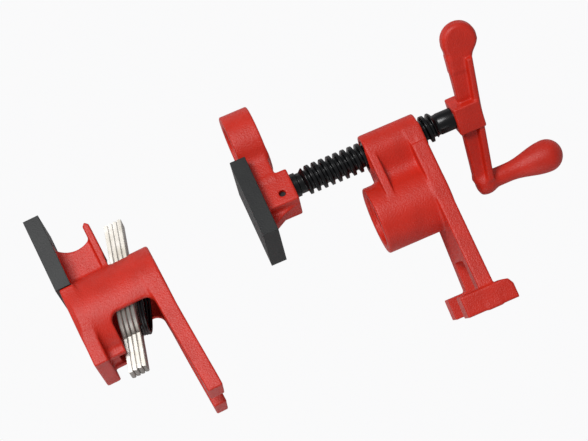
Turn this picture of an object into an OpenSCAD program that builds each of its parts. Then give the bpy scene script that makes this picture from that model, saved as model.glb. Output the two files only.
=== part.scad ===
// Pipe clamp set for 3/4 inch pipe: a screw head and a clutch tail, lying loose on a table.
// Millimetres. +X runs along the head's pipe socket towards the crank, +Y from the pipe to the
// screw, +Z up off the table. The origin is the centre of the socket's mouth.

/* [Pipe and screw] */
// Outside diameter of the pipe that the clamp is used on
pipe_d = 26.67; // [26.4:0.01:26.8]
// Distance from the pipe's axis to the screw's axis
screw_rise = 35.1; // [34:0.1:37]
// Outside diameter of the screw thread
thread_d = 15.88; // [15:0.01:16]
// Distance from one thread to the next
thread_pitch = 4.233; // [3.5:0.001:5]

/* [Head] */
// Radius of the pipe collar
collar_r = 18.9; // [18.5:0.1:20]
// Length of the pipe collar, mouth to back face
collar_len = 41; // [39:0.5:44]
// Radius of the screw boss
boss_r = 11; // [10.6:0.1:12]
// Distance of the screw boss behind the collar's mouth
boss_start = 9; // [7:0.5:12]
// Thickness of the back plate and its legs
plate_t = 8.5; // [7:0.5:9]
// Drop from the pipe's axis to the soles of the feet
foot_drop = 67; // [64:0.5:70]
// Height of a foot bar
foot_h = 12; // [10:0.5:14]
// Half of the width over both feet
foot_half = 33; // [31:0.5:33]

/* [Moving jaw] */
// Turn of the moving jaw about the screw, away from ring up
jaw_turn = -23.4; // [-23.4:0.1:-10]
// Height of the moving jaw's pad
jaw_pad_h = 47.6; // [45:0.5:50]
// Width of the moving jaw's pad
jaw_pad_w = 39; // [36:0.5:42]
// Thickness of both pads
pad_t = 8.8; // [8:0.1:10]

/* [Crank] */
// Turn of the crank about the screw
crank_turn = 31.7; // [0:0.1:31.7]
// Distance from the screw's axis to the grip's axis
grip_reach = 45.2; // [40:0.1:45.2]
// Largest radius of the grip
grip_r = 9.2; // [8:0.1:9.2]

/* [Tail] */
// Radius of the tail's housing
housing_r = 24.4; // [24:0.1:26]
// Roll of the tail about its own pipe axis
tail_roll = -14.6; // [-20:0.1:-10]
// Turn of the tail on the table
tail_yaw = 2.9; // [0:0.1:4]
// Lean of the clutch plates from square to the pipe
plate_lean = 15.3; // [12:0.1:15.3]
// Thickness of one clutch plate
clutch_t = 2.45; // [2:0.01:2.45]
// Number of clutch plates
clutch_count = 4; // [4:1:4]

/* [Hidden] */
$fn = 64;
e = 0.01;
paint = "orangered";
black = "#202022";
pad_grey = "#3a3c3e";
zinc = "#c9c6bf";

// The table lies under the widest feet.
table_z = -foot_half;

// Pipe socket: a bore that takes the pipe, with thread grooves in its wall.
socket_r = pipe_d / 2 + 0.07;
socket_groove = 0.7;
socket_pitch = 1.814;
socket_threads = 4;

// Back plate: its sides open out from the boss to the feet.
plate_x0 = collar_len - plate_t;
plate_top_half = 10.6;
plate_top_y = 45;
leg_half = 27;
leg_y = -55;
slot_half = 17;
slot_top_y = -38;
foot_x0 = 21;
foot_x1 = 50.5;
foot_corner = 4;

// Side recess between boss and collar.
recess_x0 = 14;
recess_x1 = 36.5;
waist_half = 8;
valley_r = 12.25;
valley_y = 23.67;

// Screw, from the jaw to the crank.
screw_core_r = 5.75;
screw_bore_r = thread_d / 2 + 0.35;
nose_r = 5.2;
nose_x0 = -46;
groove_x = -41.5;
groove_r = 4.4;
washer_x0 = -34;
washer_t = 3;
washer_r = 6.7;
thread_x0 = -26.2;
thread_x1 = 50.2;
shoulder_r = 6.1;
shoulder_x1 = 73;

// Moving jaw.
jaw_ring_r = 19;
jaw_ring_x0 = -55.5;
jaw_ring_w = 16.2;
jaw_bore_r = 14.2;
jaw_plate_x0 = -56.5;
jaw_plate_x1 = -52.3;
jaw_pad_x0 = -61;
jaw_pad_top = 18;
jaw_pad_wall = 2.4;
jaw_block_x1 = -34.1;
jaw_block_half = 10.2;
jaw_block_top = 6.8;
jaw_block_low = -12.6;
neck_half = 10.5;
neck_r = 7;
jaw_pin_r = 1.9;
jaw_pin_drop = groove_r + jaw_pin_r + 0.05;
fit_gap = 0.1;
run_gap = 0.06;

// Crank.
hub_x0 = 61;
hub_x1 = 72.5;
hub_half = 8.25;
arm_x1 = 76.5;
arm_slope = 0.115;
flange_t = 4.2;
flange_half = 7;
rib_half = 3.6;
paddle_x = 77;
paddle_y = 43.2;
paddle_r = 9.9;
paddle_t = 8;
crank_pin_r = 2;
crank_pin_x = 66.5;
crank_pin_len = 13;
grip_x1 = 114;

// Tail, in its own frame: pipe axis on X, +Y towards the pad.
tail_x = -161.2;
tail_y = 9.4;
tail_pad_half = 20.5;
tail_pad_y0 = 19;
tail_pad_y1 = 61.7;
tail_pad_x0 = -10.3;
tail_z = table_z + tail_pad_half * cos(tail_roll) - tail_pad_y1 * sin(tail_roll) + 0.02;
tail_plate_x0 = 34.2;
tail_plate_x1 = 43;
leg_toe_x0 = 38.2;
leg_toe_x1 = 45.8;
tail_front_x = -8.5;
tail_bore_r = 14;
cavity_r = 21;
cavity_x0 = 4;
window_x0 = 9.5;
window_y = -6;
tail_leg_y = -68.4;
tail_leg_half = 28.5;
tail_slot_half = 9.5;
tail_slot_y = -38;
flange_y = -28.5;
flange_low_half = 24;
tab_slot_half = 7.5;
tab_slot_x0 = 20.4;
tab_slot_x1 = 32.7;
spring_seat_x = 38.5;
spring_seat_r = 19.8;
tail_plate_top = 46.2;

// Clutch plates: round in the middle, with a tab at each end.
clutch_disc_r = 20;
clutch_hole_r = pipe_d / 2 + 0.42;
// Height of the leaning plates' middle, which falls to the pipe's axis as they are tilted upright.
pivot_up = 22;
clutch_rise = pivot_up * (1 - cos(plate_lean));
clutch_top = 45;
clutch_low = -37.3;
clutch_tab_half = 6.8;
clutch_mid_x = 20.2;
clutch_step = clutch_t / cos(plate_lean) + 0.06;

// Clutch spring: squeezed coils that lean with the last plate.
spring_wire = 1.8;
spring_r = 17.4;
spring_turns = 2.25;
spring_pitch = 2.25;
spring_x0 = clutch_t / 2 + 0.1;
ring_sides = 6;
rings_per_turn = 8;

// ---- Helpers ----

// A cylinder along X.
module rod(x0, x1, r, y = 0, z = 0) {
    translate([x0, y, z]) rotate([0, 90, 0]) cylinder(r = r, h = x1 - x0);
}

// A box from its two corners.
module block(a, b) {
    translate(a) cube([b[0] - a[0], b[1] - a[1], b[2] - a[2]]);
}

// An outline drawn in Y and Z, carried along X.
module along_x(x0, x1) {
    translate([x0, 0, 0]) rotate([90, 0, 90]) linear_extrude(x1 - x0) children();
}

// An outline drawn in X and Y, carried along Z, centred.
module across(w) {
    translate([0, 0, -w / 2]) linear_extrude(w) children();
}

// Points of an arc about a centre.
function arc(c, r, a0, a1, n = 8) =
    [for (i = [0:n]) [c[0] + r * cos(a0 + (a1 - a0) * i / n), c[1] + r * sin(a0 + (a1 - a0) * i / n)]];

// Half-width of the head's back plate at a height.
function plate_half(y) = plate_top_half + (plate_top_y - y) * (leg_half - plate_top_half) / (plate_top_y - leg_y);

// The moving jaw's place: turned about the screw's axis.
module at_jaw() {
    translate([0, screw_rise, 0]) rotate([jaw_turn, 0, 0]) children();
}

// The crank's place: turned about the screw's axis.
module at_crank() {
    translate([0, screw_rise, 0]) rotate([crank_turn, 0, 0]) children();
}

// The tail's place on the table.
module at_tail() {
    translate([tail_x, tail_y, tail_z]) rotate([0, 0, tail_yaw]) rotate([tail_roll, 0, 0]) children();
}

// ---- Head ----

// Outline of boss and collar joined by straight tangents, seen along the pipe.
module boss_to_collar() {
    lean = asin((collar_r - boss_r) / screw_rise);
    polygon([[screw_rise + boss_r * sin(lean), boss_r * cos(lean)],
             [collar_r * sin(lean), collar_r * cos(lean)],
             [collar_r * sin(lean), -collar_r * cos(lean)],
             [screw_rise + boss_r * sin(lean), -boss_r * cos(lean)]]);
    circle(r = collar_r);
    translate([screw_rise, 0]) circle(r = boss_r);
}

// The same where the sides are hollowed: boss and collar meet in a valley that is round to both.
module waist_outline() {
    z = waist_half + valley_r;
    to_boss = boss_r / (boss_r + valley_r);
    to_collar = collar_r / (collar_r + valley_r);
    top = [screw_rise + (valley_y - screw_rise) * to_boss, z * to_boss];
    low = [valley_y * to_collar, z * to_collar];
    difference() {
        polygon([top, low, [low[0], -low[1]], [top[0], -top[1]]]);
        for (s = [-1, 1]) translate([valley_y, s * z]) circle(r = valley_r);
    }
    circle(r = collar_r);
    translate([screw_rise, 0]) circle(r = boss_r);
}

// Outline of the back plate with its two legs, seen along the pipe.
module head_plate_outline() {
    difference() {
        union() {
            polygon([[screw_rise, plate_half(screw_rise)], [-foot_drop, foot_half],
                     [-foot_drop, -foot_half], [screw_rise, -plate_half(screw_rise)]]);
            translate([screw_rise, 0]) circle(r = boss_r);
        }
        translate([-foot_drop - 1, -slot_half]) square([foot_drop + slot_top_y - 4, 2 * slot_half]);
        translate([-foot_drop - 1, -slot_half + 5]) square([foot_drop + slot_top_y + 1, 2 * slot_half - 10]);
        for (s = [-1, 1]) translate([slot_top_y - 5, s * (slot_half - 5)]) circle(r = 5);
    }
}

// Side view of a leg with its foot bar.
module head_leg_side() {
    polygon(concat(
        [[recess_x1, screw_rise + boss_r + 1], [collar_len, screw_rise + boss_r + 1]],
        arc([collar_len + 1.5, -foot_drop + foot_h + 1.5], 1.5, 180, 270, 4),
        arc([foot_x1 - foot_corner, -foot_drop + foot_h - foot_corner], foot_corner, 90, 0),
        arc([foot_x1 - 2.5, -foot_drop + 2.5], 2.5, 0, -90, 5),
        arc([foot_x0 + 1, -foot_drop + 1], 1, -90, -180, 4),
        arc([foot_x0 + 1, -foot_drop + foot_h - 1], 1, 180, 90, 4),
        arc([plate_x0 - 2, -foot_drop + foot_h + 2], 2, -90, 0, 4),
        [[plate_x0, collar_r * 0.4], [recess_x1, collar_r * 0.8]]));
}

module socket_grooves() {
    rotate([0, 90, 0]) rotate_extrude()
        polygon(concat([[0, -1], [socket_r, -1]],
            [for (i = [0:socket_threads - 1], k = [0:1])
                k == 0 ? [socket_r, 2 + i * socket_pitch]
                       : [socket_r + socket_groove, 2 + (i + 0.5) * socket_pitch]],
            [[socket_r, 2 + socket_threads * socket_pitch], [socket_r, collar_len + 1], [0, collar_len + 1]]));
}

module head_casting() {
    color(paint) difference() {
        union() {
            rod(0, collar_len, collar_r);
            along_x(boss_start, recess_x0) boss_to_collar();
            along_x(recess_x0, recess_x1) waist_outline();
            along_x(recess_x1, collar_len) boss_to_collar();
            intersection() {
                along_x(foot_x0 - 1, foot_x1 + 1) head_plate_outline();
                across(2 * foot_half + 2) head_leg_side();
            }
        }
        socket_grooves();
        rod(boss_start - 1, collar_len + 1, screw_bore_r, screw_rise);
    }
}

// ---- Screw, washer and crank ----

module screw() {
    turns = floor((thread_x1 - thread_x0) / thread_pitch);
    color(black) difference() {
        translate([0, screw_rise, 0]) rotate([0, 90, 0]) rotate_extrude() polygon(concat(
            [[0, nose_x0], [nose_r - 0.8, nose_x0], [nose_r, nose_x0 + 0.8],
             [nose_r, groove_x - 2.1], [groove_r, groove_x - 2.1], [groove_r, groove_x + 2.1],
             [nose_r, groove_x + 2.1], [nose_r, washer_x0 + washer_t + 0.1],
             [screw_core_r, washer_x0 + washer_t + 0.2]],
            [for (i = [0:turns - 1], k = [0:1])
                [k == 0 ? screw_core_r : thread_d / 2, thread_x0 + (i + k / 2) * thread_pitch]],
            [[screw_core_r, thread_x0 + turns * thread_pitch], [screw_core_r, thread_x1 + 0.4], [shoulder_r, thread_x1 + 0.6], [shoulder_r, shoulder_x1 - 0.8],
             [shoulder_r - 0.8, shoulder_x1], [0, shoulder_x1]]));
        crank_pin_hole();
    }
}

// The cross hole through hub and screw.
module crank_pin_hole() {
    at_crank() translate([crank_pin_x, 0, -hub_half - 1]) cylinder(r = crank_pin_r + 0.02, h = crank_pin_len + 1.3);
}

module thrust_washer() {
    color(black) translate([0, screw_rise, 0]) rotate([0, 90, 0]) rotate_extrude()
        translate([nose_r + run_gap, washer_x0]) square([washer_r - nose_r - run_gap, washer_t]);
}

// Right face of the leaning arm at a distance from the screw's axis.
function arm_x(y) = arm_x1 + arm_slope * y;

// The crank's bar: a wide flange along its outer side and a narrow rib behind it.
module crank_bar() {
    across(2 * rib_half) polygon([[66, 9], [67.3, 34], [arm_x(34), 34], [arm_x(-grip_reach), -grip_reach],
                                  [61.6, -grip_reach], [63.8, -9]]);
    across(2 * flange_half) polygon([[arm_x(30), 30], [arm_x(30) - flange_t, 30],
                                     [arm_x(-grip_reach) - flange_t, -grip_reach], [arm_x(-grip_reach), -grip_reach]]);
}

// The flat thumb piece at the upper end, thinner towards its rim.
module paddle() {
    for (k = [[0, paddle_t - 2.4], [1.6, paddle_t]])
        across(k[1]) {
            translate([paddle_x, paddle_y]) circle(r = paddle_r - k[0]);
            polygon([[67 + k[0], 30], [paddle_x - paddle_r + k[0], paddle_y],
                     [paddle_x + paddle_r - k[0], paddle_y], [arm_x(30) - k[0], 30]]);
        }
}

// The lower end turns into the grip with a rounded heel.
module crank_heel() {
    x1 = arm_x(-grip_reach);
    intersection() {
        rod(61.6, x1, flange_half, -grip_reach);
        across(2 * flange_half + 1) polygon(concat([[61.6, -grip_reach + 9], [x1, -grip_reach + 9], [x1, -grip_reach - 9]],
            arc([61.6 + 7, -grip_reach], 7, 270, 180)));
    }
}

// Grip profile: a narrow neck that swells to a round end.
module grip() {
    neck_r = 5.2;
    end_x = grip_x1 - grip_r;
    translate([0, -grip_reach, 0]) rotate([0, 90, 0]) rotate_extrude()
        polygon(concat([[0, 66], [6.4, 66], [6.4, 72], [neck_r + 0.4, 77]],
            [for (i = [0:6])
                [neck_r + (grip_r - neck_r) * (1 - cos(180 * i / 6)) / 2,
                 81 + (end_x - 81) * i / 6]],
            [for (i = [1:5]) [grip_r * cos(18 * i), end_x + grip_r * sin(18 * i)]]));
}

module crank() {
    color(paint) difference() {
        at_crank() {
            block([hub_x0, -hub_half, -hub_half], [arm_x(0) - 0.2, hub_half, hub_half]);
            crank_bar();
            paddle();
            crank_heel();
            grip();
        }
        at_crank() rod(hub_x0 - 1, shoulder_x1 + 0.05, shoulder_r + 0.02);
        crank_pin_hole();
    }
}

module crank_pin() {
    color(zinc) at_crank() translate([crank_pin_x, 0, -hub_half + 0.2])
        difference() {
            cylinder(r = crank_pin_r, h = crank_pin_len);
            translate([0, 0, -1]) cylinder(r = 1, h = crank_pin_len + 2);
        }
}

// ---- Moving jaw ----

// The neck between block and ring, hollowed so that it runs smoothly into the ring.
module jaw_neck() {
    reach = sqrt(pow(jaw_ring_r + neck_r, 2) - pow(neck_half + neck_r, 2));
    up = screw_rise - reach;
    share = jaw_ring_r / (jaw_ring_r + neck_r);
    difference() {
        union() {
            translate([jaw_block_top - 1, -neck_half]) square([up - jaw_block_top + 1.1, 2 * neck_half]);
            translate([up, -(neck_half + neck_r) * share]) square([screw_rise - reach * share - up, 2 * (neck_half + neck_r) * share]);
        }
        for (s = [-1, 1]) translate([up, s * (neck_half + neck_r)]) circle(r = neck_r);
    }
    translate([up, -neck_half]) square([screw_rise - jaw_bore_r - up, 2 * neck_half]);
}

module moving_jaw() {
    plate_half_w = jaw_pad_w / 2 - jaw_pad_wall;
    plate_low = jaw_pad_top - jaw_pad_h + jaw_pad_wall;
    plate_top = jaw_pad_top - jaw_pad_wall;
    color(paint) at_jaw() difference() {
        union() {
            rod(jaw_ring_x0, jaw_ring_x0 + jaw_ring_w, jaw_ring_r, screw_rise);
            block([jaw_plate_x0, plate_low + fit_gap, -plate_half_w + fit_gap],
                  [jaw_plate_x1, plate_top - fit_gap, plate_half_w - fit_gap]);
            block([jaw_plate_x1 - 1, jaw_block_low, -jaw_block_half], [jaw_block_x1, jaw_block_top, jaw_block_half]);
            along_x(jaw_plate_x1 - 1, jaw_ring_x0 + jaw_ring_w) jaw_neck();
            across(8) polygon([[jaw_plate_x1 - 1, jaw_block_low + 1], [-36, jaw_block_low + 1], [-36, jaw_block_low],
                               [-44, -15.2], [jaw_plate_x1, -19.5], [jaw_plate_x1 - 1, -19.5]]);
        }
        block([jaw_pad_x0, plate_top - fit_gap, -jaw_pad_w / 2 - 1],
              [jaw_pad_x0 + pad_t + fit_gap, jaw_pad_top + fit_gap, jaw_pad_w / 2 + 1]);
        rod(jaw_ring_x0 - 5, jaw_ring_x0 + jaw_ring_w + 1, jaw_bore_r, screw_rise);
        rod(nose_x0 - 0.6, jaw_block_x1 + 1, nose_r + run_gap);
        translate([groove_x, -jaw_pin_drop, 0]) cylinder(r = jaw_pin_r + 0.02, h = 2 * jaw_block_half + 2, center = true);
    }
}

// A soft cap that wraps over the jaw's face plate, solid above the plate's top.
module pad_cap(x0, y0, y1, half_w, wall, plate_x, plate_top) {
    difference() {
        block([x0, y0, -half_w], [x0 + pad_t, y1, half_w]);
        block([plate_x - 0.05, y0 + wall, -half_w + wall], [x0 + pad_t + 1, plate_top + fit_gap, half_w - wall]);
    }
}

module moving_jaw_pad() {
    color(pad_grey) at_jaw()
        pad_cap(jaw_pad_x0, jaw_pad_top - jaw_pad_h, jaw_pad_top, jaw_pad_w / 2, jaw_pad_wall, jaw_plate_x0,
                jaw_pad_top - jaw_pad_wall - fit_gap);
}

module jaw_retaining_pin() {
    color(zinc) at_jaw() translate([groove_x, -jaw_pin_drop, 0])
        cylinder(r = jaw_pin_r, h = 2 * jaw_block_half - 5, center = true);
}

// ---- Tail ----

module tail_plate_outline() {
    difference() {
        union() {
            circle(r = housing_r);
            polygon([[0, housing_r], [tail_leg_y, tail_leg_half], [tail_leg_y, -tail_leg_half], [0, -housing_r]]);
        }
        translate([tail_leg_y - 1, -tail_slot_half])
            square([tail_slot_y - tail_leg_y + 1, 2 * tail_slot_half]);
        translate([tail_slot_y, 0]) circle(r = tail_slot_half);
    }
}

// The web behind the pad, with its hollowed top edge, and the finger fin.
module tail_web() {
    across(7.6) difference() {
        polygon([[-3, 21.6], [-3, tail_plate_top], [1.5, 44.6], [17.5, 44.6], [17.5, 20], [-1.4, 20], [-1.4, 21.6]]);
        translate([9, 53.6]) circle(r = 13.4);
    }
    across(15) polygon(concat([[16.9, 18], [16.9, 49]], arc([18.75, 49.6], 1.85, 170, 10, 6), [[20.7, 18]]));
}

module tail_casting() {
    wall = jaw_pad_wall;
    color(paint) at_tail() difference() {
        union() {
            difference() {
                rod(tail_front_x + 2, tail_plate_x1, housing_r);
                block([tail_front_x, tail_pad_y0 - fit_gap, -tail_pad_half - 1],
                      [tail_pad_x0 + pad_t + fit_gap, housing_r + 1, tail_pad_half + 1]);
            }
            along_x(tail_front_x, 0)
                polygon([[flange_y, flange_low_half], [flange_y, -flange_low_half],
                         [tail_pad_y0 - 0.1, -tail_pad_half + 0.3], [tail_pad_y0 - 0.1, tail_pad_half - 0.3]]);
            block([tail_pad_x0 + 4.5, tail_pad_y0 + wall + fit_gap, -tail_pad_half + wall + fit_gap],
                  [tail_pad_x0 + pad_t + 0.2, tail_plate_top, tail_pad_half - wall - fit_gap]);
            tail_web();
            for (s = [-1, 1]) block([-2, -25.2, s * 10.5 - 2.5], [window_x0, -16, s * 10.5 + 2.5]);
            intersection() {
                along_x(tail_plate_x0 - 1, leg_toe_x1 + 1) tail_plate_outline();
                across(80) polygon(concat([[tail_plate_x0, 30], [tail_plate_x1, 30], [tail_plate_x1, 20]],
                    arc([leg_toe_x1 - 4, tail_leg_y + 4], 4, 0, -90, 6),
                    arc([leg_toe_x0 + 1, tail_leg_y + 1], 1, -90, -180, 3),
                    [[tail_plate_x0, -4]]));
            }
        }
        rod(tail_front_x - 1, tail_plate_x1 + 1, tail_bore_r);
        rod(cavity_x0, tail_plate_x0, cavity_r);
        rod(tail_plate_x0 - 1, spring_seat_x, spring_seat_r);
        difference() {
            block([window_x0, -40, -40], [tail_plate_x0, window_y, 40]);
            for (s = [-1, 1]) difference() {
                block([window_x0 - 1, window_y - 4, s * 30 - 15], [window_x0 + 4, window_y + 1, s * 30 + 15]);
                translate([window_x0 + 4, window_y - 4, 0]) cylinder(r = 4, h = 100, center = true);
            }
        }
        block([cavity_x0 + 1, -30, -8], [window_x0 + 1, -14, 8]);
        block([tab_slot_x0, 15, -tab_slot_half], [tab_slot_x1, 30, tab_slot_half]);
    }
}

module tail_pad() {
    color(pad_grey) at_tail()
        pad_cap(tail_pad_x0, tail_pad_y0, tail_pad_y1, tail_pad_half, jaw_pad_wall, tail_pad_x0 + 4.5, tail_plate_top);
}

// The place of a leaning clutch plate, counted from the pad's side.
module at_plate(i) {
    x = clutch_mid_x + (i - (clutch_count - 1) / 2) * clutch_step + clutch_rise * tan(plate_lean);
    at_tail() translate([x, clutch_rise, 0]) rotate([0, 0, -plate_lean]) children();
}

module clutch_plate(i) {
    color(zinc) at_plate(i) rotate([0, 90, 0])
        rotate([0, 0, 90]) difference() {
            union() {
                cylinder(r = clutch_disc_r, h = clutch_t, center = true);
                translate([clutch_low, -clutch_tab_half, -clutch_t / 2]) cube([clutch_top - clutch_low, 2 * clutch_tab_half, clutch_t]);
            }
            cylinder(r = clutch_hole_r, h = clutch_t + 1, center = true);
        }
}

module clutch_plate_1() { clutch_plate(0); }
module clutch_plate_2() { clutch_plate(1); }
module clutch_plate_3() { clutch_plate(2); }
module clutch_plate_4() { clutch_plate(3); }

// Centre line of the spring: a helix about the last plate's middle, square to the plate.
spring_rings = spring_turns * rings_per_turn;
function spring_point(i) = let (a = 360 * i / rings_per_turn)
    [spring_x0 + spring_wire / 2 + spring_pitch * i / rings_per_turn, spring_r * cos(a), spring_r * sin(a)];
function spring_ring(i) = let (a = 360 * i / rings_per_turn, c = spring_point(i))
    [for (k = [0:ring_sides - 1]) let (b = 360 * k / ring_sides, r = spring_wire / 2)
        [c[0] + r * sin(b), c[1] + r * cos(b) * cos(a), c[2] + r * cos(b) * sin(a)]];

module clutch_spring() {
    points = [for (i = [0:spring_rings]) for (p = spring_ring(i)) p];
    last = spring_rings * ring_sides;
    sides = [for (i = [0:spring_rings - 1], k = [0:ring_sides - 1], t = [0:1])
        let (a = i * ring_sides + k, b = i * ring_sides + (k + 1) % ring_sides)
            t == 0 ? [a, b, a + ring_sides] : [b, b + ring_sides, a + ring_sides]];
    caps = [for (k = [1:ring_sides - 2], t = [0:1]) t == 0 ? [0, k + 1, k] : [last, last + k, last + k + 1]];
    color(black) at_plate(clutch_count - 1) polyhedron(points, concat(sides, caps));
}

// Least gap between one turn of the spring and the next, measured on its points.
spring_gap = min([for (i = [0:spring_rings - rings_per_turn])
    norm(spring_point(i + rings_per_turn) - spring_point(i)) - spring_wire]);
echo(spring_gap = spring_gap);
assert(spring_gap > 0.4);

head_casting();
screw();
thrust_washer();
crank();
crank_pin();
moving_jaw();
moving_jaw_pad();
jaw_retaining_pin();
tail_casting();
tail_pad();
clutch_plate_1();
clutch_plate_2();
clutch_plate_3();
clutch_plate_4();
clutch_spring();
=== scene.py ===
# %% [markdown]
# # A pipe clamp in two loose halves
#
# The CAD frame gives every piece its place and motion. This notebook makes the looks: castings with
# soft fillets from distance fields, a screw with a true helix, a spring that leans with the last plate,
# and the paint, steel and rubber.

# %%
import math

import bpy
import numpy as np
from mathutils import Matrix, Vector


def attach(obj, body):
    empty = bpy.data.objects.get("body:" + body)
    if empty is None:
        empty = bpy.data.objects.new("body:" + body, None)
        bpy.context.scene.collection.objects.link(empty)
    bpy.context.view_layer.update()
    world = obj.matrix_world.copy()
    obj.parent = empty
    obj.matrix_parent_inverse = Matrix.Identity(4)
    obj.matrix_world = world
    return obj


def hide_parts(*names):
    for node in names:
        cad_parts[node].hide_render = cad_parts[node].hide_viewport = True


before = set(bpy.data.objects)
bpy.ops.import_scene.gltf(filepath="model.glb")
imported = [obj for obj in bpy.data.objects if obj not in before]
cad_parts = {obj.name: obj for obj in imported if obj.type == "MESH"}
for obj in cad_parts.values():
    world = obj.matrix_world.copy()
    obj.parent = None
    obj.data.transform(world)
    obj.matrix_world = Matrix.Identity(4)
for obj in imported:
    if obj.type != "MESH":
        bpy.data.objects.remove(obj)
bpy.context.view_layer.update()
MM = 0.001

# %% [markdown]
# ## Where things are
#
# All formulas below are in millimetres. The head is drawn in the frame itself. The moving jaw and the
# crank are drawn round the screw's axis and turned, and the tail is drawn round its own pipe axis.

# %%
SCREW_Y = 35.1
JAW_TURN = -23.4
CRANK_TURN = 31.7
REACH = 45.2
GRIP_END = 104.8
GRIP_R = 9.2
COLLAR_LEN = 41
COLLAR_R = 18.9
BOSS_R = 11
LEG_END = -67
HOUSING_R = 24.4
TOE_END = -68.4
TAIL_AT = (-161.2, 9.4, 2.4107)
TAIL_YAW = 2.9
TAIL_ROLL = -14.6
LEAN = math.radians(15.3)
TABLE_Z = -33.0
GRID = 0.62
PIPE_HOLE = 14.0
RING_HOLE = 14.2
SOCKET = 13.4
PITCH = 4.2333
PLATE_T = 2.45
PLATE_STEP = PLATE_T / math.cos(LEAN) + 0.06
PLATE_X = 20.2
PIVOT_UP = 22


def turned(at, yaw, roll):
    """Local millimetres to the frame's metres: M = S(0.001) T(at) Rz(yaw) Rx(roll)."""
    spin = Matrix.Rotation(math.radians(yaw), 4, "Z") @ Matrix.Rotation(math.radians(roll), 4, "X")
    return Matrix.Scale(MM, 4) @ Matrix.Translation(at) @ spin


HEAD = Matrix.Scale(MM, 4)
SCREW = turned((0, SCREW_Y, 0), 0, 0)
JAW = turned((0, SCREW_Y, 0), 0, JAW_TURN)
CRANK = turned((0, SCREW_Y, 0), 0, CRANK_TURN)
TAIL = turned(TAIL_AT, TAIL_YAW, TAIL_ROLL)

# %% [markdown]
# ## Distance fields
#
# A distance field is negative inside a body and positive outside. The smaller of two fields joins two
# bodies. A polynomial blend in place of the plain minimum leaves the fillet that a sand casting has.


# %%
def smin(a, b, k):
    """Smooth union: b + (a - b) h - k h (1 - h), with h = clip(1/2 + (b - a) / 2k, 0, 1)."""
    h = np.clip(0.5 + 0.5 * (b - a) / k, 0, 1)
    return b + (a - b) * h - k * h * (1 - h)


def cut(a, b, k=0.6):
    """Body a without body b: -smin(-a, b, k)."""
    return -smin(-a, b, k)


def both(a, b, r):
    """Rounded intersection: |max((a, b) + r, 0)| + min(max(a + r, b + r), 0) - r."""
    a, b = a + r, b + r
    return np.hypot(np.maximum(a, 0), np.maximum(b, 0)) + np.minimum(np.maximum(a, b), 0) - r


def slab(t, low, high):
    """Distance to the layer low < t < high."""
    return np.maximum(low - t, t - high)


def rod(p, x0, x1, r, y=0.0, z=0.0, soft=0.8):
    """A cylinder along X with edges rounded by soft."""
    return both(np.hypot(p[1] - y, p[2] - z) - r, slab(p[0], x0, x1), soft)


def block(p, low, high, soft=0.8):
    """A box with edges rounded by soft: |max(q, 0)| + min(max q, 0) - soft."""
    q = [np.abs(p[i] - (low[i] + high[i]) / 2) - (high[i] - low[i]) / 2 + soft for i in range(3)]
    out = np.sqrt(sum(np.maximum(v, 0) ** 2 for v in q))
    return out + np.minimum(np.maximum(np.maximum(q[0], q[1]), q[2]), 0) - soft


def outline(u, v, points):
    """Signed distance to a closed polygon: least distance to a side, signed by the winding parity."""
    best = np.full(u.shape, 1e9, dtype=u.dtype)
    inside = np.zeros(u.shape, dtype=bool)
    for (au, av), (bu, bv) in zip(points, points[1:] + points[:1]):
        eu, ev = bu - au, bv - av
        t = np.clip(((u - au) * eu + (v - av) * ev) / (eu * eu + ev * ev), 0, 1)
        best = np.minimum(best, (u - au - t * eu) ** 2 + (v - av - t * ev) ** 2)
        if av != bv:
            inside ^= ((v < av) != (v < bv)) & (u < au + (v - av) * eu / ev)
    return np.where(inside, -1, 1) * np.sqrt(best)


def two_circles(u, v, length, r0, r1):
    """Circles of radius r0 at 0 and r1 at length along u, joined by their common tangents."""
    b = (r0 - r1) / length
    a = math.sqrt(1 - b * b)
    v = np.abs(v)
    k = -b * v + a * u
    side = v * a + u * b - r0
    return np.where(k < 0, np.hypot(u, v) - r0, np.where(k > a * length, np.hypot(u - length, v) - r1, side))


# %% [markdown]
# ## From field to mesh
#
# Surface nets put one point in each grid cell that the surface crosses. Newton steps along the
# gradient then bring each point onto the true surface.


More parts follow.
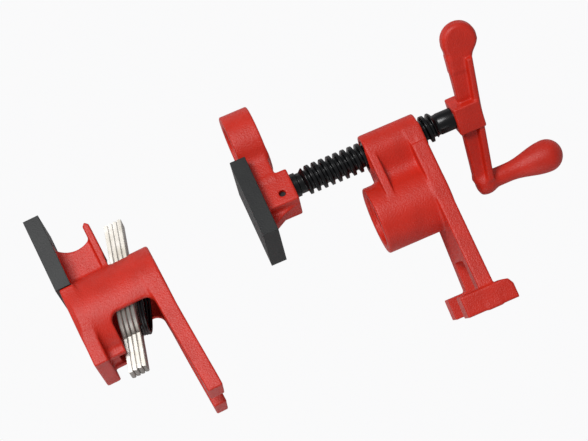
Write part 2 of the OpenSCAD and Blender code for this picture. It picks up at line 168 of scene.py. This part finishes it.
# %%
def surface_net(field, low, high, step):
    """Points x = mean of the edge crossings of each cell, then x -= f(x) g / |g|^2, with g = grad f."""
    axes = [np.arange(low[i], high[i] + step, step, dtype=np.float32) for i in range(3)]
    f = field(np.meshgrid(*axes, indexing="ij")).astype(np.float32)
    sign = f < 0
    cells = tuple(n - 1 for n in f.shape)
    total = np.zeros(cells + (3,), dtype=np.float32)
    count = np.zeros(cells, dtype=np.int8)
    for axis in range(3):
        for du in (0, 1):
            for dv in (0, 1):
                near = [None] * 3
                far = [None] * 3
                others = [i for i in range(3) if i != axis]
                near[axis], far[axis] = slice(0, -1), slice(1, None)
                for other, d in zip(others, (du, dv)):
                    near[other] = far[other] = slice(d, d + cells[other])
                a, b = f[tuple(near)], f[tuple(far)]
                crossed = (a < 0) != (b < 0)
                t = np.where(crossed, a / np.where(crossed, a - b, 1), 0)
                total[..., axis] += np.where(crossed, t, 0)
                total[..., others[0]] += np.where(crossed, du, 0)
                total[..., others[1]] += np.where(crossed, dv, 0)
                count += crossed
    active = count > 0
    index = np.full(cells, -1, dtype=np.int64)
    index[active] = np.arange(active.sum())
    corner = np.argwhere(active).astype(np.float32)
    p = (corner + total[active] / count[active][:, None]) * step + np.array([a[0] for a in axes])
    reach = 0.02
    for _ in range(4):
        p = p.astype(np.float64)
        g = np.stack([(field([p[:, j] + (reach if j == i else 0) for j in range(3)])
                       - field([p[:, j] - (reach if j == i else 0) for j in range(3)])) / (2 * reach)
                      for i in range(3)], 1)
        d = field([p[:, j] for j in range(3)])
        move = d[:, None] * g / np.maximum((g * g).sum(1), 0.25)[:, None]
        p = p - np.clip(move, -step / 2, step / 2)
    quads = []
    for axis in range(3):
        u, v = [i for i in range(3) if i != axis]
        inner = [slice(1, -1)] * 3
        inner[axis] = slice(0, -1)
        nxt = list(inner)
        nxt[axis] = slice(1, None)
        a, b = sign[tuple(inner)], sign[tuple(nxt)]
        for into, out in ((a & ~b, True), (~a & b, False)):
            at = np.argwhere(into)
            at[:, u] += 1
            at[:, v] += 1
            ring = []
            for du, dv in ((1, 1), (0, 1), (0, 0), (1, 0)):
                c = at.copy()
                c[:, u] -= du
                c[:, v] -= dv
                ring.append(index[tuple(c.T)])
            q = np.stack(ring, 1)
            flip = out if axis != 1 else not out
            quads.append(q if flip else q[:, ::-1])
    return p, np.concatenate(quads)


def tube_quads(rows, cols):
    """Quads between neighbouring rings of a tube, whose points lie ring by ring: index = i cols + j."""
    i, j = np.meshgrid(np.arange(rows - 1), np.arange(cols), indexing="ij")
    k = (j + 1) % cols
    return np.stack([i * cols + j, i * cols + k, (i + 1) * cols + k, (i + 1) * cols + j], -1).reshape(-1, 4)


def make(name, points, quads, place, body, material, stands_for=(), smooth=True):
    """A mesh in the frame, riding on its body, in place of the CAD nodes named."""
    m = np.array(place)
    points = points @ m[:3, :3].T + m[:3, 3]
    mesh = bpy.data.meshes.new(name)
    mesh.vertices.add(len(points))
    mesh.vertices.foreach_set("co", points.astype(np.float32).ravel())
    mesh.loops.add(quads.size)
    mesh.loops.foreach_set("vertex_index", quads.ravel())
    mesh.polygons.add(len(quads))
    mesh.polygons.foreach_set("loop_start", np.arange(0, quads.size, quads.shape[1]))
    mesh.polygons.foreach_set("use_smooth", np.full(len(quads), smooth))
    mesh.update(calc_edges=True)
    mesh.validate()
    obj = bpy.data.objects.new(name, mesh)
    bpy.context.scene.collection.objects.link(obj)
    mesh.materials.append(material)
    if body:
        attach(obj, body)
    if stands_for:
        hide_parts(*stands_for)
    print(name, len(points), "points", len(quads), "quads")
    return obj


def cast(name, field, low, high, step, place, body, material, *stands_for):
    """A casting: the zero surface of a field."""
    points, quads = surface_net(field, low, high, step)
    return make(name, points, quads, place, body, material, stands_for)


# %% [markdown]
# ## Materials
#
# Every texture hangs on Object coordinates, so it stays with its piece as it moves.


# %%
def shader(name, colour, rough, metal=0.0, grain=0.0, pitch=900.0, tint=None, tint_scale=60.0, soften=0.0):
    """Principled surface with a grainy bump, a slow change of colour and, for CAD nodes, softened edges."""
    mat = bpy.data.materials.new(name)
    mat.use_nodes = True
    tree = mat.node_tree
    main = tree.nodes["Principled BSDF"]
    main.inputs["Base Color"].default_value = (*colour, 1)
    main.inputs["Roughness"].default_value = rough
    main.inputs["Metallic"].default_value = metal
    place = tree.nodes.new("ShaderNodeTexCoord").outputs["Object"]
    if tint:
        noise = tree.nodes.new("ShaderNodeTexNoise")
        noise.inputs["Scale"].default_value = tint_scale
        noise.inputs["Detail"].default_value = 4
        tree.links.new(place, noise.inputs["Vector"])
        mix = tree.nodes.new("ShaderNodeMix")
        mix.data_type = "RGBA"
        mix.inputs["A"].default_value = (*colour, 1)
        mix.inputs["B"].default_value = (*tint, 1)
        ramp = tree.nodes.new("ShaderNodeMapRange")
        ramp.inputs["From Min"].default_value = 0.35
        ramp.inputs["From Max"].default_value = 0.7
        tree.links.new(noise.outputs["Fac"], ramp.inputs["Value"])
        tree.links.new(ramp.outputs["Result"], mix.inputs["Factor"])
        tree.links.new(mix.outputs["Result"], main.inputs["Base Color"])
    normal = None
    if soften:
        edge = tree.nodes.new("ShaderNodeBevel")
        edge.samples = 4
        edge.inputs["Radius"].default_value = soften
        normal = edge.outputs["Normal"]
    if grain:
        bumps = tree.nodes.new("ShaderNodeTexNoise")
        bumps.inputs["Scale"].default_value = pitch
        bumps.inputs["Detail"].default_value = 3
        tree.links.new(place, bumps.inputs["Vector"])
        bump = tree.nodes.new("ShaderNodeBump")
        bump.inputs["Strength"].default_value = grain
        bump.inputs["Distance"].default_value = 0.0004
        tree.links.new(bumps.outputs["Fac"], bump.inputs["Height"])
        if normal:
            tree.links.new(normal, bump.inputs["Normal"])
        normal = bump.outputs["Normal"]
    if normal:
        tree.links.new(normal, main.inputs["Normal"])
    return mat


paint = shader("red_enamel", (0.64, 0.020, 0.006), 0.44, grain=0.75, pitch=1300, tint=(0.55, 0.016, 0.004),
               tint_scale=90)
black = shader("black_steel", (0.003, 0.0035, 0.004), 0.27, metal=0.2, grain=0.12, pitch=700, soften=0.0003)
rubber = shader("pad_rubber", (0.0035, 0.0045, 0.005), 0.55, grain=0.3, pitch=1500, tint=(0.010, 0.012, 0.0115),
                soften=0.0006)
zinc = shader("zinc_steel", (0.45, 0.43, 0.40), 0.42, metal=0.7, grain=0.05, pitch=500, tint=(0.32, 0.30, 0.26),
              tint_scale=120)
pin_steel = shader("pin_steel", (0.02, 0.02, 0.02), 0.5, metal=0.5, grain=0.1, soften=0.0002)

# %% [markdown]
# ## Head casting
#
# The collar takes the pipe and the boss the screw. Two flat ribs join them, with a hollow between the
# ribs on each side, and the back plate runs down into two legs with foot bars.


# %%
def head_field(p):
    """smin of collar, boss, waist, ribs, back plate and bars, less the leg gap, socket and screw hole.

    The back plate's half width grows downwards: w(y) = 12.2 + 0.2037 (screw_y - y). The socket's radius has
    grooves 0.35 (1 + cos(2 pi x / 1.814)) deep over its first 18 mm, and a cone at its mouth.
    """
    x, y, z = p
    collar = rod(p, 0, COLLAR_LEN, COLLAR_R, soft=0.9)
    boss = rod(p, 9, COLLAR_LEN, BOSS_R, SCREW_Y, soft=0.9)
    waist = block(p, (9.5, 2, -8), (40, 36, 8), 1)
    body = smin(smin(collar, boss, 2), waist, 5)
    joined = two_circles(y, z, SCREW_Y, 18.4, 10.6)
    ribs = np.minimum(both(joined, slab(x, 9, 13.6), 0.5), both(joined, slab(x, 36.8, COLLAR_LEN), 0.5))
    body = smin(body, ribs, 0.5)
    half = 12.2 + (SCREW_Y - y) * 0.2037
    side = (np.abs(z) - half) * 0.98
    plate = both(both(side, slab(y, LEG_END, 40), 0.8), slab(x, 32.5, COLLAR_LEN), 0.9)
    plate = np.where(y > 30, np.maximum(plate, joined), plate)
    bars = outline(x, y, [(21, LEG_END), (21, -55), (45.5, -55), (48.6, -55.8), (50.4, -59), (50.5, LEG_END)])
    bars = both(bars, np.abs(z) + TABLE_Z + 0.05, 1.1)
    body = smin(body, smin(plate, bars, 1.6), 1.6)
    gap = both(np.abs(z) - 17, slab(y, -90, -38), 5)
    body = cut(body, gap, 0.5)
    socket = np.hypot(y, z) - SOCKET - 0.35 * np.clip(1 + np.cos(2 * np.pi * x / 1.814), 0, 2) * (x < 18)
    body = cut(body, np.minimum(socket, np.hypot(y, z) - 14.6 + x * 0.8), 0.3)
    return cut(body, np.hypot(y - SCREW_Y, z) - 8.2, 0.5)


cast("head_body", head_field, (-1.5, -69, -35), (53, 48, 35), GRID, HEAD, "head", paint, "head_casting")

# %% [markdown]
# ## Moving jaw
#
# A ring that the pipe guides, a neck, and a block that holds the screw's nose.


# %%
def jaw_field(p):
    """smin of ring, neck, hub, gusset and face, less the pad's groove and the pipe, nose and pin holes.

    Here y = 0 is the screw's axis, and the ring's centre lies at y = screw_y.
    """
    x, y, z = p
    ring = rod(p, -55.5, -39.3, 19, SCREW_Y, soft=0.9)
    neck = block(p, (-54.5, 3, -10.3), (-40.6, 24, 10.3), 1.6)
    hub = block(p, (-54, -12.6, -10.2), (-34.1, 6.8, 10.2), 1.1)
    face = block(p, (-56.4, -27.1, -17), (-52.3, 15.5, 17), 0.5)
    gusset_side = [(-54, -8), (-36, -8), (-35.5, -12.4), (-44, -15.0), (-52.3, -19.6), (-54, -19.6)]
    gusset = both(outline(x, y, gusset_side), np.abs(z) - 4, 0.8)
    body = smin(smin(ring, neck, 3.5), hub, 1.6)
    body = smin(smin(body, gusset, 1.6), face, 0.8)
    pad_groove = block(p, (-62, 15.5, -21), (-52.1, 18.15, 21), 0.05)
    pipe_hole = both(np.hypot(y - SCREW_Y, z) - RING_HOLE, slab(x, -70, -20), 0.1)
    nose_hole = both(np.hypot(y, z) - 5.3, slab(x, -46.6, -20), 0.1)
    pin_hole = np.hypot(x + 41.5, y + 6.35) - 1.93
    body = cut(body, pad_groove, 0.2)
    body = cut(body, pipe_hole, 0.5)
    body = cut(body, nose_hole, 0.3)
    return cut(body, pin_hole, 0.2)


cast("jaw_body", jaw_field, (-58, -29, -20.5), (-32, 56, 20.5), GRID, JAW, "moving_jaw", paint, "moving_jaw")

# %% [markdown]
# ## Crank
#
# A square hub, a leaning T-section bar, a flat thumb piece at the top and a pear-shaped grip below.


# %%
def arm_x(y):
    """The outer face of the leaning bar: x = 76.5 + 0.115 y."""
    return 76.5 + 0.115 * y


def grip_radius(x, start=81, neck=5.3):
    """Neck to pear: neck + 3.9 (1 - cos(pi t)) / 2, with t = clip((x - start) / 23.8, 0, 1)."""
    t = np.clip((x - start) / 23.8, 0, 1)
    return neck + 3.9 * (1 - np.cos(np.pi * t)) / 2


def crank_field(p):
    """smin of hub, T-section bar, heel, thumb piece and grip, less the hole of the cross pin.

    The grip is a body of revolution round y = -reach, closed by a ball of radius 9.2 at x = 104.8.
    """
    x, y, z = p
    hub = block(p, (61, -8.25, -8.25), (76.3, 8.25, 8.25), 0.9)
    rib_side = [(66, 6), (67.4, 36), (arm_x(36) - 1, 36), (arm_x(-40) - 1, -40), (61.7, -42), (63.9, -6)]
    rib = both(outline(x, y, rib_side), np.abs(z) - 3.5, 1.2)
    flange_side = [(arm_x(33), 33), (arm_x(33) - 3.6, 33), (arm_x(-42) - 4, -42), (arm_x(-42), -42)]
    flange = both(outline(x, y, flange_side), np.abs(z) - 7, 1.2)
    thumb = np.hypot(x - 77, y - 43.2) - 9.9
    thumb_side = [(66.9, 26), (67.5, 42), (77, 50), (86, 40.5), (82.8, 35), (80.6, 30), (arm_x(24), 24)]
    thumb = both(smin(thumb, outline(x, y, thumb_side), 2), np.abs(z) - 4, 2.6)
    line = np.hypot(y + REACH, z)
    heel = both(line - 6.8, slab(x, 62, 73), 5)
    grip = both((line - grip_radius(x)) * 0.97, slab(x, 64, GRIP_END), 0.1)
    grip = np.minimum(grip, np.sqrt((x - GRIP_END) ** 2 + line ** 2) - GRIP_R)
    bar = smin(smin(rib, flange, 1.2), heel, 3)
    body = smin(smin(hub, bar, 1.0), thumb, 1.6)
    body = smin(body, grip, 2.4)
    return cut(body, both(np.hypot(x - 66.5, y) - 2.03, z - 5, 0.1), 0.2)


cast("crank_body", crank_field, (59, -56, -11), (116, 55, 11), GRID, CRANK, "spindle", paint, "crank")

# %% [markdown]
# ## Tail casting
#
# A housing round the pipe with open windows below, a front flange, the seat of the pad, a web and a
# fin behind it, and a rear plate with two legs.


# %%
def tail_field(p):
    """smin of housing, flange, web, fin, seat, lips and legs, less the bore, cavity, windows and slots.

    The legs lean slightly across z: their x is shifted by 0.045 z c, with c = clip(-(y + 18) / 45, 0, 1). The
    flange's half width grows downwards: w(y) = 20.2 + 0.08 (18.9 - y).
    """
    x, y, z = p
    skew = x - 0.045 * z * np.clip(-(y + 18) / 45, 0, 1)
    ring = np.hypot(y, z)
    housing = rod(p, -6.5, 43, HOUSING_R, soft=1)
    width = 20.2 + (18.9 - y) * 0.08
    flange = both(both((np.abs(z) - width), slab(y, -28.5, 18.9), 1), slab(x, -8.5, -0.5), 1)
    seat = block(p, (-5.8, 18, -17.9), (-1.6, 46.2, 17.9), 0.4)
    web_side = outline(x, y, [(-3, 18), (-3, 46), (1.5, 44.6), (18, 44.6), (19, 18)])
    hollow_top = 13.4 - np.hypot(x - 9, y - 53.6)
    web = both(np.maximum(web_side, hollow_top), np.abs(z) - 3.8, 0.8)
    fin_side = outline(x, y, [(17.2, 18), (16.9, 49.5), (18.6, 51.4), (20.6, 49.5), (21.2, 18)])
    fin = both(fin_side, np.abs(z) - 7.5, 0.9)
    lips = block([x, y, np.abs(z)], (-2, -25.2, 8), (9.6, -14, 13), 0.8)
    leg = outline(y, z, [(0, HOUSING_R), (TOE_END, 28.5), (TOE_END, -28.5), (0, -HOUSING_R)])
    leg = np.minimum(leg, ring - HOUSING_R)
    inner = 34.2 - 0.05 * (y + 4)
    outer = 43 - 0.0317 * np.minimum(y - 20, 0)
    plate = both(both(leg, slab(y, TOE_END, 30), 0.8), np.maximum(inner - skew, skew - outer), 0.9)
    gap = both(np.abs(z) - 9.5, slab(y, -90, -28.5), 6)
    plate = cut(plate, gap, 0.8)
    body = smin(housing, flange, 3.5)
    body = smin(body, smin(web, fin, 1.5), 2)
    body = smin(smin(body, seat, 1.0), lips, 1.5)
    body = smin(body, plate, 2)
    bore = both(ring - PIPE_HOLE, slab(x, -20, 60), 0.1)
    cavity = both(ring - 21, slab(x, 4, 34.2), 0.5)
    spring_seat = both(ring - 19.8, slab(x, 30, 38.5), 0.3)
    window = both(slab(x, 9.6, 34.2 - 0.058 * np.minimum(y + 4, 0)), y + 6, 5)
    front_slot = block(p, (5, -32, -8), (12.5, -14, 8), 0.3)
    pad_groove = block(p, (-12, 18.95, -21), (-1.45, 21.45, 21), 0.05)
    tab_slot = block(p, (20.4, 15, -7.5), (32.7, 30, 7.5), 0.3)
    body = cut(body, np.minimum(np.minimum(bore, cavity), spring_seat), 0.4)
    body = cut(body, window, 1.0)
    body = cut(body, front_slot, 0.3)
    body = cut(body, pad_groove, 0.1)
    return cut(body, tab_slot, 0.3)


cast("tail_body", tail_field, (-10, -72, -31), (48, 53, 31), GRID, TAIL, "tail", paint, "tail_casting")

# %% [markdown]
# ## Screw
#
# The thread is a true right-hand helix: r depends on x - pitch * angle / turn.


# %%
def screw_surface():
    """r(x, a) = base(x) + 2.14 s(u) fade(x), with u = frac(x / pitch - a / 2 pi).

    s is a tooth with smooth flanks, 3 t^2 - 2 t^3 of t = (0.36 - |u - 1/2|) / 0.17. The fade ends the thread
    near the jaw and near the crank. One point closes each end.
    """
    core, height = 5.8, 2.14
    nose = np.array([(-46, 4.2), (-45.2, 5.2), (-43.6, 5.2), (-43.6, 4.4), (-39.4, 4.4), (-39.4, 5.2), (-30.9, 5.2),
                     (-30.7, 5.75)])
    run = np.arange(-30.5, 52.01, 0.16)
    shank = np.array([(52.4, 6.1), (72.2, 6.1), (73, 5.3)])
    x = np.concatenate([nose[:, 0], run, shank[:, 0]])
    base = np.concatenate([nose[:, 1], np.full(len(run), core), shank[:, 1]])
    turns = np.linspace(0, 2 * np.pi, 96, endpoint=False)
    X, A = np.meshgrid(x, turns, indexing="ij")
    u = np.mod(X / PITCH - A / (2 * np.pi), 1)
    tooth = np.clip((0.36 - np.abs(u - 0.5)) / 0.17, 0, 1)
    tooth = tooth * tooth * (3 - 2 * tooth)
    fade = np.clip((X + 28.6) / 2.4, 0, 1) * np.clip((50.8 - X) / 2.0, 0, 1)
    r = base[:, None] + tooth * fade * height
    points = np.stack([X, r * np.cos(A), r * np.sin(A)], -1).reshape(-1, 3)
    rows, cols = X.shape
    quads = tube_quads(rows, cols)
    caps = [[x[0], 0, 0], [x[-1], 0, 0]]
    n = len(points)
    points = np.concatenate([points, caps])
    j = np.arange(0, cols, 2)
    left = np.stack([np.full(len(j), n), (j + 2) % cols, j + 1, j], 1)
    last = (rows - 1) * cols
    right = np.stack([np.full(len(j), n + 1), last + j, last + j + 1, last + (j + 2) % cols], 1)
    return points, np.concatenate([quads, left, right])


points, quads = screw_surface()
make("screw_thread", points, quads, SCREW, "spindle", black, ["screw"])

# %% [markdown]
# ## Clutch spring
#
# One round wire, squeezed between the last plate and the rear wall. It leans and turns with the plate.

# %%
RISE = PIVOT_UP * (1 - math.cos(LEAN))
PLATE_AT = (PLATE_X + 1.5 * PLATE_STEP + RISE * math.tan(LEAN), RISE, 0)
PLATE = TAIL @ Matrix.Translation(PLATE_AT) @ Matrix.Rotation(-LEAN, 4, "Z")


def spring_surface(turns=2.7, wire=0.9, coil=17.9):
    """Tube round c(a) = (2.2 + (4.4 + 0.9 cos b) s, coil cos b, coil sin b), with b = a + 2.6.

    s runs from 0 to 1 and stays level over the first and last 0.9 radians, as on a closed end. The tube's
    ring is spanned by the curve's normal and binormal. Each end closes over the last 0.03 radians.
    """
    sides, closed = 14, 0.9
    a = np.linspace(0, 2 * np.pi * turns, int(turns * 72))
    b = a + 2.6
    rise = np.clip(a - closed, 0, a[-1] - 2 * closed) / (a[-1] - 2 * closed)
    c = np.stack([2.2 + 4.4 * rise + 0.9 * rise * np.cos(b), coil * np.cos(b), coil * np.sin(b)], 1)
    t = np.gradient(c, axis=0)
    t /= np.linalg.norm(t, axis=1)[:, None]
    out = np.stack([np.zeros_like(a), np.cos(b), np.sin(b)], 1)
    normal = out - (out * t).sum(1)[:, None] * t
    normal /= np.linalg.norm(normal, axis=1)[:, None]
    binormal = np.cross(t, normal)
    w = np.arange(sides) * 2 * np.pi / sides
    size = wire * np.sqrt(np.clip(np.minimum(a, a[-1] - a) / 0.03, 0.02, 1))
    ring = np.cos(w)[None, :, None] * normal[:, None] + np.sin(w)[None, :, None] * binormal[:, None]
    p = c[:, None] + size[:, None, None] * ring
    return p.reshape(-1, 3), tube_quads(len(a), sides)


points, quads = spring_surface()
make("spring_wire", points, quads, PLATE, "clutch_4", black, ["clutch_spring"])

# %% [markdown]
# ## Clutch plates
#
# Each plate is a closed ring of loops round its hole. The small chamfers leave dark lines between them.


# %%
def plate_surface(top=45.0, low=-37.3, half=6.8, disc=20.0, hole=13.755, edge=0.5):
    """Eight loops round the hole: r(a) = hole inside and r(a) = max(disc, ray to the tabs' rectangle) outside.

    Each rim has a chamfer of size edge. Extra angles mark the corners, so that they stay sharp.
    """
    tab_top, tab_low = math.atan2(half, top), math.pi - math.atan2(half, -low)
    meet = math.asin(half / disc)
    marks = [tab_top, tab_low, meet, math.pi - meet]
    sharp = 0.004
    a = np.unique(np.concatenate([np.linspace(0, 2 * np.pi, 360, endpoint=False)]
                                 + [[m, m + sharp, 2 * np.pi - m, 2 * np.pi - m - sharp] for m in marks]))
    c, s = np.cos(a), np.sin(a)
    end = np.where(c > 0, top / np.maximum(c, 1e-6), low / np.minimum(c, -1e-6))
    side = half / np.maximum(np.abs(s), 1e-6)
    r = np.maximum(disc, np.minimum(end, side))
    h = PLATE_T / 2
    loops = [(hole + edge, h), (r - edge, h), (r, h - edge), (r, edge - h), (r - edge, -h), (hole + edge, -h),
             (hole, edge - h), (hole, h - edge)]
    rows = [np.stack([np.full_like(a, x), np.broadcast_to(q, a.shape) * c, np.broadcast_to(q, a.shape) * s], 1)
            for q, x in loops]
    n = len(a)
    i, j = np.meshgrid(np.arange(8), np.arange(n), indexing="ij")
    k, m = (i + 1) % 8, (j + 1) % n
    quads = np.stack([i * n + j, k * n + j, k * n + m, i * n + m], -1).reshape(-1, 4)
    return np.concatenate(rows), quads


points, quads = plate_surface()
for number in range(1, 5):
    along = (number - 4) * PLATE_STEP
    shift = Matrix.Translation((along * math.cos(LEAN), along * math.sin(LEAN), 0))
    make(f"zinc_plate_{number}", points, quads, PLATE @ shift, f"clutch_{number}", zinc,
         [f"clutch_plate_{number}"], smooth=False)

# %% [markdown]
# ## Pieces kept from the frame
#
# The pads, the washer and the two pins are plain enough as the frame draws them. They only get a finish.

# %%
for node, mat in {"thrust_washer": black, "moving_jaw_pad": rubber, "tail_pad": rubber, "crank_pin": pin_steel,
                  "jaw_retaining_pin": pin_steel}.items():
    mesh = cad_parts[node].data
    mesh.materials.clear()
    mesh.materials.append(mat)
    print(node, len(mesh.polygons), "faces kept")

# %% [markdown]
# ## Floor, light and camera
#
# The camera sees a white floor and background, as in a catalogue picture. Every other ray sees a grey room,
# so that the background doesn't wash out the paint.


# %%
WHITE = (0.955, 0.955, 0.96, 1)
ROOM = (0.27, 0.27, 0.28, 1)


def floor_material():
    """White to the camera, as in a studio shot, and pale grey to every other ray."""
    mat = bpy.data.materials.new("floor_white")
    mat.use_nodes = True
    tree = mat.node_tree
    tree.nodes.clear()
    out = tree.nodes.new("ShaderNodeOutputMaterial")
    mix = tree.nodes.new("ShaderNodeMixShader")
    flat = tree.nodes.new("ShaderNodeEmission")
    flat.inputs["Color"].default_value = WHITE
    plain = tree.nodes.new("ShaderNodeBsdfDiffuse")
    plain.inputs["Color"].default_value = (0.6, 0.6, 0.6, 1)
    path = tree.nodes.new("ShaderNodeLightPath")
    tree.links.new(path.outputs["Is Camera Ray"], mix.inputs["Fac"])
    tree.links.new(plain.outputs["BSDF"], mix.inputs[1])
    tree.links.new(flat.outputs["Emission"], mix.inputs[2])
    tree.links.new(mix.outputs["Shader"], out.inputs["Surface"])
    return mat


def add_floor(half=4.0):
    """A square floor just under the table's height."""
    z = (TABLE_Z - 0.05) * MM
    mesh = bpy.data.meshes.new("floor")
    mesh.from_pydata([(-half, -half, z), (half, -half, z), (half, half, z), (-half, half, z)], [], [(0, 1, 2, 3)])
    obj = bpy.data.objects.new("floor", mesh)
    bpy.context.scene.collection.objects.link(obj)
    mesh.materials.append(floor_material())
    return obj


def add_light(name, at, size, power):
    """A square area light at a place, facing the middle of the object."""
    light = bpy.data.lights.new(name, "AREA")
    light.size = size
    light.energy = power
    obj = bpy.data.objects.new(name, light)
    bpy.context.scene.collection.objects.link(obj)
    obj.location = at
    aim = Vector((-0.04, 0.02, 0)) - obj.location
    obj.rotation_euler = aim.to_track_quat("-Z", "Y").to_euler()
    return obj


def add_world():
    """White to the camera, as in a studio shot, and a soft grey room to every other ray."""
    world = bpy.data.worlds.new("studio")
    bpy.context.scene.world = world
    world.use_nodes = True
    tree = world.node_tree
    sky = tree.nodes["Background"]
    sky.inputs["Color"].default_value = WHITE
    sky.inputs["Strength"].default_value = 1.0
    room = tree.nodes.new("ShaderNodeBackground")
    room.inputs["Color"].default_value = ROOM
    path = tree.nodes.new("ShaderNodeLightPath")
    pick = tree.nodes.new("ShaderNodeMixShader")
    tree.links.new(path.outputs["Is Camera Ray"], pick.inputs["Fac"])
    tree.links.new(room.outputs["Background"], pick.inputs[1])
    tree.links.new(sky.outputs["Background"], pick.inputs[2])
    tree.links.new(pick.outputs["Shader"], tree.nodes["World Output"].inputs["Surface"])


def add_camera():
    """The camera fitted to the photograph: yaw -4.31, pitch 2.29 and roll -23.38 degrees, 1.11 m away."""
    yaw, pitch, roll, distance = -0.0752, 0.040, -0.408, 1.11
    tilt = Matrix.Rotation(yaw, 3, "Y") @ Matrix.Rotation(pitch, 3, "X")
    eye = Vector((-0.04066, 0.01786, 0)) + tilt @ Vector((0, 0, distance))
    cam = bpy.data.cameras.new("camera")
    cam.sensor_width = 36
    cam.lens = 125.76
    cam.clip_start = 0.05
    cam.clip_end = 50
    obj = bpy.data.objects.new("camera", cam)
    bpy.context.scene.collection.objects.link(obj)
    obj.matrix_world = Matrix.Translation(eye) @ (tilt @ Matrix.Rotation(roll, 3, "Z")).to_4x4()
    bpy.context.scene.camera = obj
    print("camera", round(cam.lens, 2), "mm")


add_floor()
add_light("key", (-0.40, 0.50, 1.0), 0.45, 10)
add_light("low", (-0.45, -0.95, 0.30), 0.6, 2.5)
add_world()
add_camera()
scene = bpy.context.scene
scene.view_settings.view_transform = "Standard"
scene.view_settings.look = "None"
